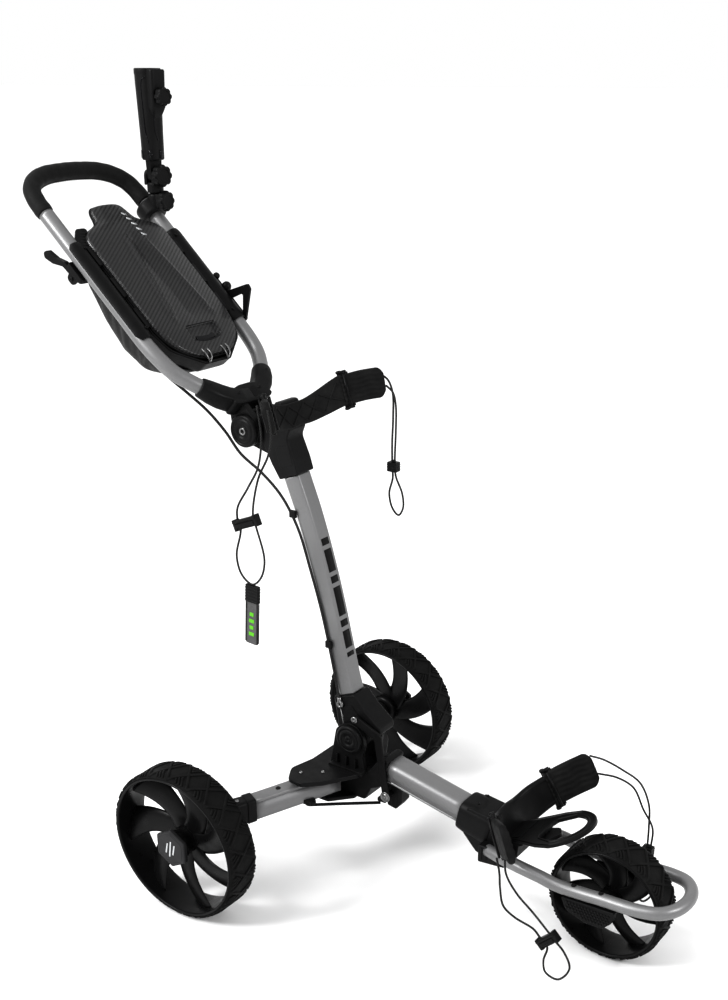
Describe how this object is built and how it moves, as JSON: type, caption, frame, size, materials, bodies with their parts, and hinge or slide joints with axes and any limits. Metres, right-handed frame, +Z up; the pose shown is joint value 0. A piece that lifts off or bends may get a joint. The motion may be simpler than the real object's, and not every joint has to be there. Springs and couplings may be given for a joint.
{
  "type": "golf push cart",
  "caption": "Three-wheel push cart for a golf bag: folding frame with padded bag cradles, a handle with a lidded console, an umbrella holder and elastic cords.",
  "frame": {"origin": "on the ground, at the middle of the cart's length and width", "axes": "+X forward, towards the single wheel; +Y to the cart's left; +Z up"},
  "size_m": [1.1639, 0.629, 1.216],
  "materials": {
    "silver": "satin anodised",
    "steel": "plain",
    "black_plastic": "fine grain",
    "rim_plastic": "semi gloss",
    "cap_plastic": "satin",
    "tyre": "matt moulded foam rubber",
    "rubber": "matt",
    "carbon": "carbon weave look",
    "foam": "grained wrap",
    "fabric": "woven",
    "cord": "braided"
  },
  "bodies": {
    "chassis": {"hinge_base": "black_plastic", "lower_pivot_bolt": "black_plastic", "front_tube": "silver", "front_bracket": "black_plastic", "fork_loop": "silver", "front_axle_carrier": "black_plastic", "bag_rest": "black_plastic", "lower_cradle": "black_plastic", "lower_strap_pad_right": "rubber", "lower_strap_pad_left": "rubber", "bungee_lower_right": "cord", "bungee_lower_left": "cord", "cord_lock_lower_right": "black_plastic", "cord_lock_lower_left": "black_plastic"},
    "leg_right": {"rear_leg_right": "silver", "axle_block_right": "black_plastic"},
    "leg_left": {"rear_leg_left": "silver", "axle_block_left": "black_plastic"},
    "wheel_right": {"rear_tyre_right": "tyre", "rear_rim_right": "rim_plastic", "rear_hub_cap_right": "cap_plastic"},
    "wheel_left": {"rear_tyre_left": "tyre", "rear_rim_left": "rim_plastic", "rear_hub_cap_left": "cap_plastic"},
    "wheel_front": {"front_tyre": "tyre", "front_rim": "rim_plastic"},
    "upright": {"main_upright": "silver", "lower_shoe": "black_plastic", "upper_collar": "black_plastic", "upper_pivot_bolt": "black_plastic", "upper_cradle": "rubber", "upper_strap_pad_right": "rubber", "upper_strap_pad_left": "rubber", "bungee_upper_right": "cord", "bungee_upper_left": "cord", "cord_lock_upper_right": "black_plastic", "cord_lock_upper_left": "black_plastic", "pull_tab": "fabric", "brake_cable_lower": "cord"},
    "handle": {"yoke": "black_plastic", "handle_tube_right": "silver", "handle_tube_left": "silver", "grip": "foam", "console_tray": "black_plastic", "pouch": "fabric", "brake_mount": "black_plastic", "accessory_bracket": "black_plastic", "umbrella_clamp": "black_plastic", "brake_cable_upper": "cord"},
    "console_lid": {"console_lid": "carbon"},
    "brake_lever": {"brake_lever": "black_plastic"},
    "umbrella_base": {"umbrella_base": "black_plastic"},
    "umbrella_tube": {"umbrella_tube": "black_plastic"},
    "tilt_knob": {"tilt_knob": "black_plastic"},
    "clamp_knob": {"clamp_knob": "black_plastic"},
    "umbrella_lock_knob": {"umbrella_lock_knob": "black_plastic"},
    "fold_link": {"fold_link": "black_plastic"},
    "fold_slider": {"fold_slider": "black_plastic"},
    "rod_right": {"leg_rod_right": "steel"},
    "rod_left": {"leg_rod_left": "steel"}
  },
  "joints": [
    {"name": "upright_fold", "type": "hinge", "parent": "chassis", "child": "upright", "pos_m": [-0.0077, 0, 0.234], "axis": [0, 1, 0], "range_deg": [0, 60]},
    {"name": "handle_fold", "type": "hinge", "parent": "upright", "child": "handle", "pos_m": [-0.2017, 0, 0.712], "axis": [0, 1, 0], "range_deg": [-110, 0], "deforming": ["brake_cable_upper", "brake_cable_lower"]},
    {"name": "leg_fold_right", "type": "hinge", "parent": "chassis", "child": "leg_right", "pos_m": [-0.0417, -0.048, 0.152], "axis": [0, 0, 1], "range_deg": [0, 63.8]},
    {"name": "leg_fold_left", "type": "hinge", "parent": "chassis", "child": "leg_left", "pos_m": [-0.0417, 0.048, 0.152], "axis": [0, 0, 1], "range_deg": [-63.8, 0]},
    {"name": "wheel_spin_right", "type": "hinge", "parent": "leg_right", "child": "wheel_right", "pos_m": [-0.1447, -0.282, 0.125], "axis": [0, 1, 0], "continuous": true},
    {"name": "wheel_spin_left", "type": "hinge", "parent": "leg_left", "child": "wheel_left", "pos_m": [-0.1447, 0.282, 0.125], "axis": [0, 1, 0], "continuous": true},
    {"name": "wheel_spin_front", "type": "hinge", "parent": "chassis", "child": "wheel_front", "pos_m": [0.4543, 0, 0.095], "axis": [0, 1, 0], "continuous": true},
    {"name": "fold_slide", "type": "slide", "parent": "chassis", "child": "fold_slider", "axis": [0.9796, 0, -0.2011], "range_m": [0, 0.0513]},
    {"name": "link_pivot", "type": "hinge", "parent": "upright", "child": "fold_link", "pos_m": [0.0003, -0.026, 0.27], "axis": [0, 1, 0], "range_deg": [-71.5, 0]},
    {"name": "rod_pivot_right", "type": "hinge", "parent": "fold_slider", "child": "rod_right", "pos_m": [0.0433, -0.017, 0.125], "axis": [0, 0, 1], "range_deg": [-10.7, 0]},
    {"name": "rod_pivot_left", "type": "hinge", "parent": "fold_slider", "child": "rod_left", "pos_m": [0.0433, 0.017, 0.125], "axis": [0, 0, 1], "range_deg": [0, 10.7]},
    {"name": "lid_hinge", "type": "hinge", "parent": "handle", "child": "console_lid", "pos_m": [-0.46904, 0, 0.98798], "axis": [0, 1, 0], "range_deg": [-65, 0]},
    {"name": "brake_lever_pivot", "type": "hinge", "parent": "handle", "child": "brake_lever", "pos_m": [-0.46005, -0.106, 0.92537], "axis": [0, 1, 0], "range_deg": [-35, 0]},
    {"name": "umbrella_swivel", "type": "hinge", "parent": "handle", "child": "umbrella_base", "pos_m": [-0.4867, 0.106, 1.032], "axis": [0, 0, 1], "range_deg": [-45, 45]},
    {"name": "umbrella_tilt", "type": "hinge", "parent": "umbrella_base", "child": "umbrella_tube", "pos_m": [-0.4867, 0.106, 1.059], "axis": [0.9848, -0.1736, 0], "range_deg": [-30, 30]},
    {"name": "tilt_knob_turn", "type": "hinge", "parent": "umbrella_base", "child": "tilt_knob", "pos_m": [-0.4867, 0.106, 1.059], "axis": [0.9848, -0.1736, 0], "range_deg": [-180, 180]},
    {"name": "clamp_knob_turn", "type": "hinge", "parent": "handle", "child": "clamp_knob", "pos_m": [-0.4867, 0.106, 1.0205], "axis": [1, 0, 0], "range_deg": [-180, 180]},
    {"name": "lock_knob_turn", "type": "hinge", "parent": "umbrella_tube", "child": "umbrella_lock_knob", "pos_m": [-0.4867, 0.106, 1.176], "axis": [0.9848, -0.1736, 0], "range_deg": [-180, 180]}
  ],
  "couplings": [
    {"joint": "leg_fold_right", "follows": "upright_fold", "ratio": 1.0633},
    {"joint": "leg_fold_left", "follows": "upright_fold", "ratio": -1.0633},
    {"joint": "fold_slide", "follows": "upright_fold", "m_per_rad": 0.048988},
    {"joint": "link_pivot", "follows": "upright_fold", "ratio": -1.1917},
    {"joint": "rod_pivot_right", "follows": "upright_fold", "ratio": -0.17833},
    {"joint": "rod_pivot_left", "follows": "upright_fold", "ratio": 0.17833}
  ]
}
